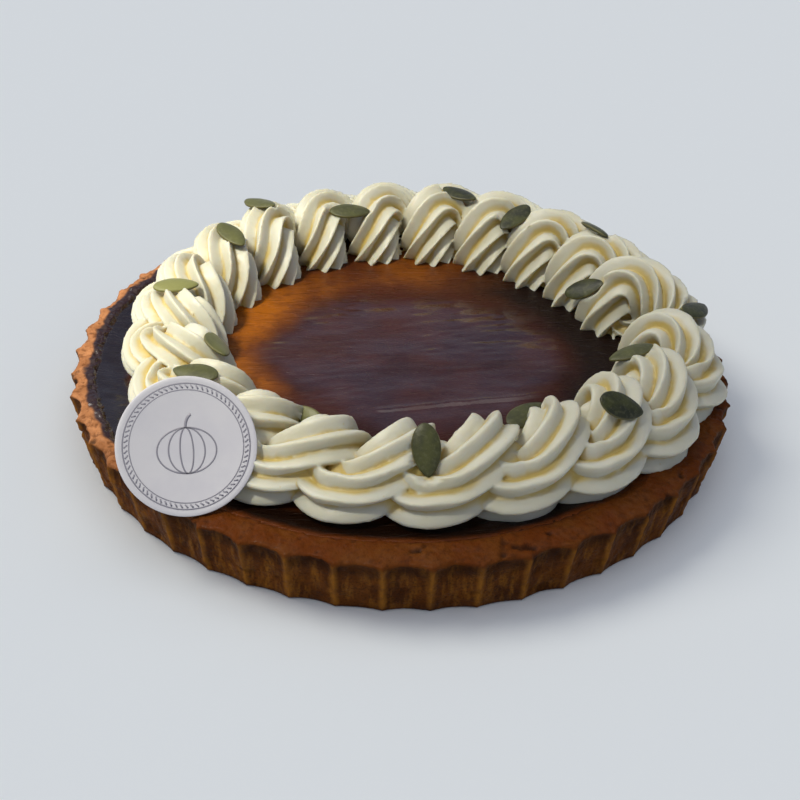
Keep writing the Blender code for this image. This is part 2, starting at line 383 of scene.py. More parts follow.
class Recipe:
    """Adds and joins the nodes of one material, world or node group."""

    def __init__(self, tree: Tree) -> None:
        """Starts on a node tree."""
        self.tree = tree

    def add(self, kind: str, settings: dict | None = None, inputs: dict | None = None) -> Node:
        """Adds one node.

        Args:
            kind: the node's type.
            settings: its properties.
            inputs: values, or sockets to link, for its inputs by name or number.

        Returns:
            The node.
        """
        node = self.tree.nodes.new(kind)
        for name, value in (settings or {}).items():
            setattr(node, name, value)
        for name, value in (inputs or {}).items():
            self.feed(node.inputs[name], value)
        return node

    def feed(self, socket: Socket, value: object) -> None:
        """Links a socket into an input, or sets the input's own value.

        Args:
            socket: the input.
            value: a socket or a plain value.
        """
        if isinstance(value, Socket):
            self.tree.links.new(value, socket)
        else:
            socket.default_value = value

    def place(self) -> Socket:
        """Coordinates in metres on the object."""
        return self.add("ShaderNodeTexCoord").outputs["Object"]

    def painted(self, name: str) -> Socket:
        """The numbers stored on the mesh under a name."""
        return self.add("ShaderNodeAttribute", {"attribute_name": name}).outputs["Fac"]

    def noise(self, scale: object, detail: object, roughness: float = 0.55,
              vector: Socket | None = None) -> Socket:
        """Adds cloudy noise.

        Args:
            scale: how many clouds to a metre.
            detail: how many finer layers it has.
            roughness: strength of the finer layers.
            vector: where to read it; on the object if not given.

        Returns:
            Its height, from 0 to 1.
        """
        inputs = {"Scale": scale, "Detail": detail, "Roughness": roughness}
        inputs["Vector"] = vector or self.place()
        return self.add("ShaderNodeTexNoise", inputs=inputs).outputs["Fac"]

    def stretched(self, x: float, y: float, z: float, turn: float = 0.0) -> Socket:
        """Object coordinates, turned about Z and then scaled differently along each axis."""
        inputs = {"Vector": self.place(), "Rotation": (0.0, 0.0, turn), "Scale": (1.0 / x, 1.0 / y, 1.0 / z)}
        return self.add("ShaderNodeMapping", {"vector_type": "TEXTURE"}, inputs).outputs["Vector"]

    def sharpen(self, value: Socket, low: float, high: float, bottom: float = 0.0,
                top: float = 1.0) -> Socket:
        """Maps one range onto another, smoothly and clamped.

        Args:
            value: what to map.
            low: the value that becomes bottom.
            high: the value that becomes top.
            bottom: the result at and below low.
            top: the result at and above high.

        Returns:
            The mapped value.
        """
        settings = {"interpolation_type": "SMOOTHSTEP"}
        inputs = {"Value": value, "From Min": low, "From Max": high, "To Min": bottom, "To Max": top}
        return self.add("ShaderNodeMapRange", settings, inputs).outputs["Result"]

    def work(self, step: Step, first: object, second: object) -> Socket:
        """One step of arithmetic."""
        return self.add("ShaderNodeMath", {"operation": step.value}, {0: first, 1: second}).outputs[0]

    def mix(self, share: object, under: object, over: object) -> Socket:
        """Mixes two colours."""
        inputs = {0: share, 6: under, 7: over}
        return self.add("ShaderNodeMix", {"data_type": "RGBA"}, inputs).outputs[2]

    def layers(self, colour: object, *coats: Coat) -> Socket:
        """Lays coats over a colour.

        Args:
            colour: the lowest colour.
            coats: what goes over it, the lowest first.

        Returns:
            The finished colour.
        """
        for coat in coats:
            share = self.painted(coat.mask) if isinstance(coat.mask, str) else coat.mask
            if coat.strength != 1.0:
                share = self.work(Step.TIMES, share, coat.strength)
            colour = self.mix(share, colour, coat.colour)
        return colour

    def bumps(self, *steps: tuple[Socket, float, float]) -> Socket:
        """Turns heights into one normal.

        Args:
            steps: for each a height, how deep a height of 1 is in metres, and its strength.

        Returns:
            The normal.
        """
        normal = None
        for height, depth, strength in steps:
            inputs = {"Height": height, "Distance": depth, "Strength": strength}
            if normal is not None:
                inputs["Normal"] = normal
            normal = self.add("ShaderNodeBump", inputs=inputs).outputs["Normal"]
        return normal

    def group(self, tree: Tree, inputs: dict) -> bpy.types.NodeOutputs:
        """Places a shared node group, and gives its outputs."""
        return self.add("ShaderNodeGroup", {"node_tree": tree}, inputs).outputs


class SharedEffects:
    """Node groups that several finishes use."""

    def __init__(self) -> None:
        """Builds each group once."""
        self._mottling = self._build_mottling()
        self._grain = self._build_grain()
        self._specks = self._build_specks()

    def mottled(self, recipe: Recipe, scale: float) -> tuple[Socket, Socket]:
        """The patches and the flecks of uneven browning, in a finish."""
        outputs = recipe.group(self._mottling, {"Scale": scale})
        return outputs["Patches"], outputs["Flecks"]

    def grain(self, recipe: Recipe, scale: float, detail: float) -> Socket:
        """A fine uneven height, in a finish."""
        return recipe.group(self._grain, {"Scale": scale, "Detail": detail})["Height"]

    def specks(self, recipe: Recipe, scale: float, size: float) -> Socket:
        """A mask of small separate dots, in a finish."""
        return recipe.group(self._specks, {"Scale": scale, "Size": size})["Mask"]

    @staticmethod
    def _start(name: str, inputs: tuple[str, ...],
               outputs: tuple[str, ...]) -> tuple[Recipe, bpy.types.NodeOutputs, bpy.types.NodeInputs]:
        """Makes an empty group.

        Args:
            name: the group's name.
            inputs: names of its number inputs.
            outputs: names of its number outputs.

        Returns:
            The recipe for its nodes, the numbers it is given, and the sockets for its results.
        """
        tree = bpy.data.node_groups.new(name, "ShaderNodeTree")
        for labels, way in ((inputs, "INPUT"), (outputs, "OUTPUT")):
            for label in labels:
                tree.interface.new_socket(label, in_out=way, socket_type="NodeSocketFloat")
        recipe = Recipe(tree)
        return recipe, recipe.add("NodeGroupInput").outputs, recipe.add("NodeGroupOutput").inputs

    def _build_mottling(self) -> Tree:
        """Uneven browning: broad patches with smaller ones in them.

        Returns:
            The group.
        """
        recipe, given, result = self._start("mottling", ("Scale",), ("Patches", "Flecks"))
        broad = recipe.noise(given["Scale"], 4.0, 0.6)
        recipe.feed(result["Patches"], recipe.sharpen(broad, 0.36, 0.66))
        fine = recipe.noise(recipe.work(Step.TIMES, given["Scale"], 5.0), 3.0, 0.65)
        recipe.feed(result["Flecks"], recipe.sharpen(fine, 0.48, 0.68))
        return recipe.tree

    def _build_grain(self) -> Tree:
        """A fine uneven height, from 0 to 1.

        Returns:
            The group.
        """
        recipe, given, result = self._start("grain", ("Scale", "Detail"), ("Height",))
        recipe.feed(result["Height"], recipe.noise(given["Scale"], given["Detail"], 0.6))
        return recipe.tree

    def _build_specks(self) -> Tree:
        """Small separate dots.

        Returns:
            The group.
        """
        recipe, given, result = self._start("specks", ("Scale", "Size"), ("Mask",))
        inputs = {"Vector": recipe.place(), "Scale": given["Scale"]}
        cells = recipe.add("ShaderNodeTexVoronoi", inputs=inputs)
        near = recipe.work(Step.BELOW, cells.outputs["Distance"], given["Size"])
        keep = recipe.noise(recipe.work(Step.TIMES, given["Scale"], 0.3), 2.0)
        recipe.feed(result["Mask"], recipe.work(Step.TIMES, near, recipe.sharpen(keep, 0.5, 0.56)))
        return recipe.tree


@dataclass(frozen=True)
class Finish:
    """A finish with one Principled shader; subclasses say what else feeds it."""

    name: str
    colour: Colour
    roughness: float = 0.5
    specular: float = 0.5

    def look(self, recipe: Recipe, effects: SharedEffects) -> dict[str, object]:
        """Says what feeds the shader.

        Args:
            recipe: adds the nodes.
            effects: the shared node groups.

        Returns:
            Values or sockets, by the name of the input.
        """
        return {}

    def make(self, effects: SharedEffects) -> bpy.types.Material:
        """Makes the material.

        Args:
            effects: the shared node groups.

        Returns:
            The material.
        """
        material = bpy.data.materials.new(self.name)
        material.use_nodes = True
        recipe = Recipe(material.node_tree)
        plain = {"Base Color": self.colour, "Roughness": self.roughness,
                 "Specular IOR Level": self.specular}
        shader = material.node_tree.nodes["Principled BSDF"]
        for name, value in (plain | self.look(recipe, effects)).items():
            recipe.feed(shader.inputs[name], value)
        return material


@dataclass(frozen=True)
class Pastry(Finish):
    """Baked shortcrust: golden ribs, brown hollows, a darker top and a glazed inner edge, with painted
    sunlight on the left of the top.
    """

    name: str = "pastry"
    colour: Colour = tone(94, 51, 13)
    specular: float = 0.06
    golden: Colour = tone(138, 88, 28)
    browned: Colour = tone(66, 32, 6)
    dark: Colour = tone(32, 14, 4)
    top: Colour = tone(88, 41, 6)
    # Painted sunlight: the paler colour of the rim top on its sunlit left.
    sunny: Colour = tone(178, 122, 80)
    syrup: Colour = tone(38, 17, 8)

    def look(self, recipe: Recipe, effects: SharedEffects) -> dict[str, object]:
        """Says what feeds the shader.

        Args:
            recipe: adds the nodes.
            effects: the shared node groups.

        Returns:
            Values or sockets, by the name of the input.
        """
        patches, flecks = effects.mottled(recipe, 90.0)
        fine_patches, fine_flecks = effects.mottled(recipe, 260.0)
        streaks = recipe.noise(1.0, 3.0, 0.6, recipe.stretched(420.0, 420.0, 90.0))
        # Golden on the rib tips, in patches.
        golden_rib_tips = recipe.work(Step.TIMES, recipe.painted("rib"),
                           recipe.sharpen(fine_patches, 0.0, 1.0, 0.55, 1.0))
        side = recipe.layers(
            self.browned, Coat(self.colour, patches),
            Coat(self.golden, recipe.sharpen(streaks, 0.45, 0.72, 0.0, 0.6)),
            Coat(self.dark, fine_flecks, 0.55), Coat(self.golden, golden_rib_tips))
        # The crown's sunny coat is painted sunlight on the left of the rim top.
        crown = recipe.layers(
            self.top, Coat(self.colour, patches), Coat(self.sunny, "sunny"),
            Coat(self.browned, flecks, 0.6), Coat(self.top, fine_patches, 0.3))
        return {
            "Base Color": recipe.layers(
                side, Coat(crown, "top"), Coat(self.dark, "shade"), Coat(self.syrup, "syrup")),
            "Coat Weight": recipe.painted("glaze"),
            "Coat Roughness": 0.2,
            "Roughness": recipe.sharpen(fine_patches, 0.0, 1.0, 0.5, 0.75),
            "Normal": recipe.bumps((effects.grain(recipe, 320.0, 3.0), 0.0012, 0.6),
                                   (effects.grain(recipe, 900.0, 4.0), 0.0003, 0.7)),
        }


@dataclass(frozen=True)
class Custard(Finish):
    """Set, glazed custard: amber towards the edge, deep brown in the middle, with a wrinkled skin; the amber
    is partly painted sunlight, and painted shade darkens the right edge and the band under the cream.
    """

    name: str = "custard"
    colour: Colour = tone(41, 16, 14)
    specular: float = 0.12
    # Partly painted sunlight: the custard's amber edge colour, drawn lighter on the sunlit left and back.
    amber: Colour = tone(148, 82, 8)
    rust: Colour = tone(66, 28, 11)
    # Dark glaze of the pool at the left, and painted shade on the custard's right edge.
    deep: Colour = tone(22, 11, 8)
    brim: Colour = tone(98, 46, 7)
    # Painted shadow under the cream's base, over a little dark glaze.
    line: Colour = tone(24, 10, 3)

    def look(self, recipe: Recipe, effects: SharedEffects) -> dict[str, object]:
        """Says what feeds the shader.

        Args:
            recipe: adds the nodes.
            effects: the shared node groups.

        Returns:
            Values or sockets, by the name of the input.
        """
        patches, flecks = effects.mottled(recipe, 38.0)
        burnt = recipe.layers(self.amber, Coat(self.rust, patches, 0.8), Coat(self.rust, flecks, 0.35))
        crumbly = recipe.layers(self.brim, Coat(self.rust, flecks, 0.5))
        skin = recipe.noise(1.0, 6.0, 0.7, recipe.stretched(240.0, 620.0, 200.0, GRAIN_TURN))
        folds = recipe.noise(1.0, 2.0, 0.5, recipe.stretched(60.0, 260.0, 60.0, GRAIN_TURN))
        grit = recipe.work(Step.TIMES, effects.grain(recipe, 950.0, 1.0), recipe.painted("grit"))
        return {
            # Painted shadow: the line coat darkens the custard under the cream.
            "Base Color": recipe.layers(
                self.colour, Coat(self.rust, patches, 0.5), Coat(burnt, "amber"),
                Coat(crumbly, "brim"), Coat(self.line, "line"), Coat(self.deep, "deep")),
            "Coat Weight": recipe.painted("sheen"),
            "Coat Roughness": 0.12,
            "Coat IOR": 1.7,
            "Roughness": recipe.sharpen(flecks, 0.0, 1.0, 0.3, 0.5),
            "Normal": recipe.bumps((skin, 0.0009, 0.7),
                                   (recipe.sharpen(folds, 0.47, 0.53), 0.0005, 0.6),
                                   (grit, 0.0016, 0.9),
                                   (effects.grain(recipe, 700.0, 2.0), 0.00015, 0.35)),
        }


@dataclass(frozen=True)
class Cream(Finish):
    """Piped cream: ivory on the ridges and buttery yellow in the grooves, where the yellow is painted shade.
    """

    name: str = "cream"
    colour: Colour = tone(189, 186, 164)
    # Buttery yellow: painted shade in the grooves, and the cream's own colour in its small specks.
    butter: Colour = tone(190, 166, 90)
    pale: Colour = tone(197, 197, 184)

    def look(self, recipe: Recipe, effects: SharedEffects) -> dict[str, object]:
        """Says what feeds the shader.

        Args:
            recipe: adds the nodes.
            effects: the shared node groups.

        Returns:
            Values or sockets, by the name of the input.
        """
        patches, flecks = effects.mottled(recipe, 70.0)
        # Painted shade: the grooves are tinted buttery yellow.
        groove = recipe.sharpen(recipe.painted("groove"), -0.25, 0.9)
        dots = effects.specks(recipe, 240.0, 0.09)
        return {
            "Base Color": recipe.layers(self.colour, Coat(self.pale, patches, 0.4),
                                        Coat(self.butter, groove), Coat(self.butter, dots, 0.35)),
            "Subsurface Weight": 0.45,
            "Subsurface Radius": (1.0, 0.75, 0.4),
            "Subsurface Scale": 0.0045,
            "Roughness": recipe.sharpen(flecks, 0.0, 1.0, 0.44, 0.6),
            "Normal": recipe.bumps((effects.grain(recipe, 420.0, 3.0), 0.0004, 0.3)),
        }


@dataclass(frozen=True)
class SeedSkin(Finish):
    """A shelled pumpkin seed: dark olive with a silvery skin and a paler edge, and a paler tone painted on
    as sunlight for the seeds at the left.
    """

    name: str = "seed_skin"
    colour: Colour = tone(31, 33, 13)
    roughness: float = 0.42
    specular: float = 0.35
    bright: Colour = tone(58, 60, 21)
    silver: Colour = tone(94, 93, 68)
    edge: Colour = tone(92, 86, 46)
    # Painted sunlight: the paler tone of the seeds lit at the left.
    pale: Colour = tone(126, 126, 72)

    def look(self, recipe: Recipe, effects: SharedEffects) -> dict[str, object]:
        """Says what feeds the shader.

        Args:
            recipe: adds the nodes.
            effects: the shared node groups.

        Returns:
            Values or sockets, by the name of the input.
        """
        patches, flecks = effects.mottled(recipe, 180.0)
        return {
            "Base Color": recipe.layers(self.colour, Coat(self.bright, patches),
                                        Coat(self.silver, flecks, 0.3), Coat(self.pale, "pale"),
                                        Coat(self.edge, "edge")),
            "Sheen Weight": 0.08,
            "Sheen Roughness": 0.4,
            "Normal": recipe.bumps((effects.grain(recipe, 900.0, 3.0), 0.00025, 0.4)),
        }


@dataclass(frozen=True)
class Card(Finish):
    """The tag's smooth coated card, with faint shading over its face."""

    name: str = "card"
    colour: Colour = tone(192, 190, 192)
    roughness: float = 0.38
    second: Colour = tone(186, 184, 188)

    def look(self, recipe: Recipe, effects: SharedEffects) -> dict[str, object]:
        """Says what feeds the shader.

        Args:
            recipe: adds the nodes.
            effects: the shared node groups.

        Returns:
            Values or sockets, by the name of the input.
        """
        patches, _ = effects.mottled(recipe, 60.0)
        return {
            "Base Color": recipe.layers(self.colour, Coat(self.second, patches)),
            "Normal": recipe.bumps((effects.grain(recipe, 1500.0, 2.0), 0.00005, 0.3)),
        }


# ---- The tart ----------------------------------------------------


def seed_nodes() -> list[str]:
    """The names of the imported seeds."""
    return sorted(made.name for made in bpy.data.objects if made.name.startswith("seed_"))


@dataclass
class Piece:
    """Shared steps of every piece of the tart."""

    effects: SharedEffects

    def settle(self, made: Thing, finish: Finish | bpy.types.Material, slot: str,
               *nodes: str) -> None:
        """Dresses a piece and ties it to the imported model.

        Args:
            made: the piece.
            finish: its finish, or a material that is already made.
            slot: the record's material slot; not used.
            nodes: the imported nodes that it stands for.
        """
        material = finish if isinstance(finish, bpy.types.Material) else finish.make(self.effects)
        made.data.materials.clear()
        made.data.materials.append(material)
        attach(made, BODY)
        if nodes:
            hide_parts(*nodes)
        LOG.info("%s: %d faces, for %s", made.name, len(made.data.polygons), ", ".join(nodes) or "trim")


@dataclass
class Well:
    """The hollow of the crust, off-centre and a little uneven, most of all at the left."""

    centre: Spot = (-0.0025, 0.0015)
    radius: float = 0.1020
    floor_radius: float = 0.0980
    floor_height: float = 0.006
    steps: tuple[Spot, ...] = ((0.0012, 0.0003), (0.0024, 0.0006), (0.0045, 0.0010))
    wobble: Relief = Relief(0.0007, 0.011, 21)
    left_wobble: Relief = Relief(0.0012, 0.020, 24)
    left_turn: float = math.radians(168.0)

    def edge(self, turns: np.ndarray) -> np.ndarray:
        """Follows the pastry's inner edge.

        Args:
            turns: azimuths.

        Returns:
            The edge's radius at each azimuth.
        """
        around = np.stack([np.cos(turns), np.sin(turns), np.zeros_like(turns)], 1) * self.radius
        left = towards(turns, self.left_turn, 0.55, 0.95)
        return self.radius + self.wobble.over(around) + left * self.left_wobble.over(around)


@dataclass
class Crust(Piece):
    """The fluted pastry case."""

    well: Well
    flutes: int = 50
    per_flute: int = 26
    flute_start: float = math.radians(-91.6)
    depth_top: float = 0.0027
    depth_foot: float = 0.0012
    foot_radius: float = 0.1095
    foot_inset: float = 0.006
    foot_bevel: float = 0.0006
    hub: float = 0.03
    lip: float = 0.0014
    dome: float = 0.0004
    inner_drop: float = 0.0009
    rib_width: float = 0.11
    clearance: float = 0.0003
    sunny_turn: float = math.radians(170.0)
    syrup_line: float = 0.0008
    syrup_spill: float = 0.0042
    side_rows: int = 20
    rim_rows: int = 18
    crumb: Relief = Relief(0.00032, 0.0042, 3)
    fine_crumb: Relief = Relief(0.00020, 0.0014, 6, 2)
    broad: Relief = Relief(0.00045, 0.024, 14, 2)
    pits: Relief = Relief(1.0, 0.0034, 11, 2)
    pit_depth: float = 0.00055
    ragged: Relief = Relief(1.0, 0.0060, 27)
    sun_patches: Relief = Relief(0.3, 0.006, 17)

    def outline(self, turns: np.ndarray, radius: float, depth: float) -> np.ndarray:
        """Follows the flutes: narrow ribs with wide, shallow hollows between them.

        Args:
            turns: azimuths.
            radius: the radius over the rib tips.
            depth: how deep the hollows are.

        Returns:
            The outer radius at each azimuth.
        """
        across = (turns - self.flute_start) * self.flutes / math.tau
        index = np.floor(across)
        hollow = np.sin(np.pi * (across - index)) ** 0.8
        uneven = 1.0 + 0.16 * np.sin(index * 2.399) + 0.10 * np.sin(index * 5.1)
        return radius - depth * hollow * uneven

    def rings(self, height: float, radius: float) -> np.ndarray:
        """Rings of points from the underside over the rim and down the well.

        Args:
            height: the rim's height.
            radius: the radius over the rib tips at the rim.

        Returns:
            Rows of rings.
        """
        turns, direction = circle(self.flutes * self.per_flute, self.flute_start)
        foot = self.outline(turns, self.foot_radius - self.foot_bevel, self.depth_foot)
        profile = [(self.hub, 0.0), (self.foot_radius - self.foot_inset, 0.0), (foot, 0.0)]
        shoulder = height - self.lip
        for share in np.linspace(0.03, 1.0, self.side_rows):
            reach = self.foot_radius + (radius - self.foot_radius) * share
            depth = self.depth_foot + (self.depth_top - self.depth_foot) * share**1.4
            profile.append((self.outline(turns, reach, depth), shoulder * share))
        outer = self.outline(turns, radius, self.depth_top * 0.82)
        for angle in np.radians(np.arange(18.0, 91.0, 18.0)):
            profile.append((outer - self.lip * (1.0 - math.cos(angle)),
                            shoulder + self.lip * math.sin(angle)))
        rows = [level_ring(direction, reach, z) for reach, z in profile]
        rows += self._rim(direction, outer - self.lip, self.well.edge(turns), height)
        inner = self.well.edge(turns)
        hollow = [(inner - inset, height - drop) for drop, inset in self.well.steps]
        hollow += [(reach, self.well.floor_height) for reach in (self.well.floor_radius, self.hub)]
        rows += [level_ring(direction, reach, z, self.well.centre) for reach, z in hollow]
        return np.array(rows)

    def _rim(self, direction: np.ndarray, outer: np.ndarray, inner: np.ndarray,
             height: float) -> list[np.ndarray]:
        """Lays the rim's gently domed top.

        Args:
            direction: directions from the centre, one row each.
            outer: radius of the outer edge.
            inner: radius of the inner edge, from the centre of the well.
            height: the rim's height.

        Returns:
            Its rings, from the outer to the inner edge.
        """
        start = direction * outer[:, None]
        end = np.array(self.well.centre) + direction * inner[:, None]
        rows = []
        for share in np.linspace(0.06, 1.0, self.rim_rows):
            fall = self.inner_drop * max(0.0, share - 0.75) * 4.0
            z = height + self.dome * math.sin(math.pi * share) - fall
            rows.append(np.column_stack([start + (end - start) * share, np.full(len(outer), z)]))
        return rows

    def roughen(self, mesh: Mesh, height: float) -> None:
        """Gives the pastry its crumb and dents, and paints the masks that its finish reads.

        Args:
            mesh: the smooth pastry.
            height: the rim's height.
        """
        points, out = places(mesh), facings(mesh)
        radius, turns = polar(points)
        lifted = points[:, 2] / height
        top = smooth_step(lifted, 0.90, 0.985)
        across = (turns - self.flute_start) * self.flutes / math.tau
        across -= np.floor(across)
        rib = np.clip(1.0 - np.minimum(across, 1.0 - across) / self.rib_width, 0.0, 1.0)
        left = towards(turns, self.sunny_turn, 0.45, 0.85)
        relief = self.crumb.over(points) + self.fine_crumb.over(points)
        relief *= 1.0 + 0.6 * left + 0.5 * smooth_step(lifted, 0.7, 0.9)
        pits = smooth_step(self.pits.over(points), 0.34, 0.62)
        relief += self.broad.over(points) * top - self.pit_depth * pits
        shown = smooth_step(points[:, 2], 0.0, 0.0015) * smooth_step(radius, 0.092, 0.099)
        moved = points + out * (relief * shown)[:, None]
        moved[:, 2] = np.maximum(moved[:, 2], 0.0)
        move_to(mesh, moved)
        reach, around = polar(points, self.well.centre)
        ragged = self.ragged.over(points)
        spill = self.syrup_line + (self.syrup_spill - self.syrup_line) * left
        spill += (0.0009 + 0.0016 * left) * ragged - (reach - self.well.edge(around))
        syrup = smooth_step(spill, -0.0003, 0.0009) * smooth_step(lifted, 0.82, 0.95)
        foot = 0.3 * smooth_step(-lifted, -0.10, 0.0)
        under_lip = 0.6 * (1.0 - rib) * smooth_step(lifted, 0.62, 0.84) * (1.0 - top)
        shade = np.clip(0.8 * pits * (0.35 + 0.65 * top) + foot + under_lip, 0.0, 0.85)
        glaze = top * (0.05 + 0.12 * ragged) + syrup * (0.1 + 0.9 * left)
        paint(mesh, "rib", rib * (1.0 - top) * smooth_step(lifted, 0.0, 0.12))
        paint(mesh, "top", top)
        # Painted sunlight: the left of the rim top is drawn paler, in patches.
        paint(mesh, "sunny", left * top * (0.8 + self.sun_patches.over(points)))
        paint(mesh, "shade", shade)
        paint(mesh, "syrup", syrup)
        paint(mesh, "glaze", np.clip(glaze, 0.0, 1.0))

    def build(self) -> None:
        """Builds and dresses the crust."""
        low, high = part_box("crust")
        radius = min(high.x, -low.x, high.y, -low.y) - self.clearance
        made = ring_body("pastry_case", self.rings(high.z, radius))
        self.roughen(made.data, high.z)
        self.settle(made, Pastry(), "crust", "crust")


@dataclass
class Filling(Piece):
    """The set custard with its glazed, rippled skin."""

    well: Well
    columns: int = 420
    rows: int = 88
    edge_lap: float = 0.0009
    brim_rise: float = 0.0013
    sheen_centre: Spot = (0.004, 0.001)
    sheen_size: Spot = (0.048, 0.044)
    pool_turn: float = math.radians(165.0)
    warm_turn: float = math.radians(133.0)
    far_turn: float = math.radians(85.0)
    grit_turn: float = math.radians(148.0)
    streak: tuple[Spot, ...] = ((-0.006, -0.0325), (0.023, -0.0255), (0.040, -0.0220), (0.056, -0.0175))
    streak_width: float = 0.0009
    streak_height: float = 0.00055
    ripple: Relief = Relief(0.00022, 0.007, 31)
    fine_ripple: Relief = Relief(0.000132, 0.0019, 36, 1)
    swell: Relief = Relief(0.0004, 0.045, 39, 1)
    brim_crumb: Relief = Relief(0.00018, 0.0032, 47)
    patches: Relief = Relief(1.0, 0.022, 41)
    wisps: Relief = Relief(1.0, 0.008, 44, 4)
    clumps: Relief = Relief(1.0, 0.007, 49)

    def build(self) -> None:
        """Builds and dresses the filling."""
        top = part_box("filling")[1].z
        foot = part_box("filling")[0].z
        turns, direction = circle(self.columns)
        edge = self.well.edge(turns) + self.edge_lap
        profile = [(0.3, foot), (0.94, foot), (0.985, top - 0.002)]
        profile += [(share, top) for share in np.linspace(1.0, 0.004, self.rows) ** 0.9]
        rows = [level_ring(direction, edge * share, z, self.well.centre) for share, z in profile]
        made = ring_body("custard_filling", np.array(rows))
        self.ripple_skin(made.data, top)
        self.settle(made, Custard(), "filling", "filling")

    def ripple_skin(self, mesh: Mesh, top: float) -> None:
        """Raises the skin's ripples and paints the masks that the finish reads.

        Args:
            mesh: the smooth custard.
            top: the height of its surface.
        """
        points = places(mesh)
        shown = points[:, 2] > top - 0.001
        cosine, sine = math.cos(GRAIN_TURN), math.sin(GRAIN_TURN)
        along = points[:, 0] * cosine + points[:, 1] * sine
        stretched = np.column_stack([0.32 * along, points[:, 1] * cosine - points[:, 0] * sine,
                                     points[:, 2]])
        reach, turns = polar(points, self.well.centre)
        height = self.ripple.over(stretched) + self.fine_ripple.over(stretched)
        height += self.swell.over(points) + self.streak_height * self._streak(points)
        height += self.brim_rise * smooth_step(reach, self.well.radius - 0.0085, self.well.radius + 0.001)
        height += smooth_step(reach, 0.090, 0.096) * self.brim_crumb.over(points)
        points[:, 2] += np.where(shown, height, 0.0)
        move_to(mesh, points)
        patch, clumps = self.patches.over(points), self.clumps.over(points)
        wisps = self.wisps.over(stretched)
        across = (points[:, :2] - np.array(self.sheen_centre)) / np.array(self.sheen_size)
        depth = 1.0 - (across**2).sum(1) + 0.35 * patch
        middle = smooth_step(depth + 0.35 * wisps, -0.30, 0.36) * (1.0 - 0.45 * smooth_step(wisps, 0.0, 0.6))
        edge = smooth_step(-depth, -0.10, 0.75)
        inside = smooth_step(-reach, -0.094, -0.088)
        pool = (1.0 - inside) * towards(turns, self.pool_turn, 0.30, 0.62)
        # Painted sunlight: this mask keeps the amber to the sunlit left and back.
        warm = towards(turns, self.warm_turn, -0.2, 0.35)
        warm *= 1.0 - 0.6 * towards(turns, self.far_turn, 0.35, 0.9)
        # Painted shade: this mask draws the custard's right side darker.
        right_shade = towards(turns, 0.0, 0.15, 0.75)
        brim = (1.0 - inside) * (1.0 - pool)
        crusted = towards(turns, self.grit_turn, 0.80, 0.97)
        sheen = inside * middle + pool * (0.75 + 0.35 * clumps) + 0.04 * inside * warm
        # Amber edge colour, partly painted sunlight on the left and back.
        paint(mesh, "amber", inside * warm * np.clip(edge + 0.12 * patch, 0.0, 1.0))
        paint(mesh, "brim", brim)
        # Painted shadow under the cream, over a little dark glaze: the band where the cream meets the brim.
        paint(mesh, "line", brim * smooth_step(-reach + 0.0012 * patch, -0.1030, -0.0998))
        # The deep mask: the real dark glaze pool at the left, plus painted shade at the right edge.
        paint(mesh, "deep", np.clip(inside * right_shade * edge + pool, 0.0, 1.0))
        paint(mesh, "sheen", np.clip(sheen, 0.0, 1.0))
        paint(mesh, "grit", pool * np.clip(0.12 + crusted * (0.6 + clumps), 0.0, 1.0))

    def _streak(self, points: np.ndarray) -> np.ndarray:
        """Draws a thin raised line in the skin.

        Args:
            points: positions, one row each.

        Returns:
            Its height at each point, from 0 to 1.
        """
        knots = np.array(self.streak)
        line = np.interp(points[:, 0], knots[:, 0], knots[:, 1])
        begun = smooth_step(points[:, 0], knots[0, 0] - 0.004, knots[0, 0])
        ended = smooth_step(points[:, 0], knots[-1, 0], knots[-1, 0] + 0.006)
        return np.exp(-(((points[:, 1] - line) / self.streak_width) ** 2)) * begun * (1.0 - ended)


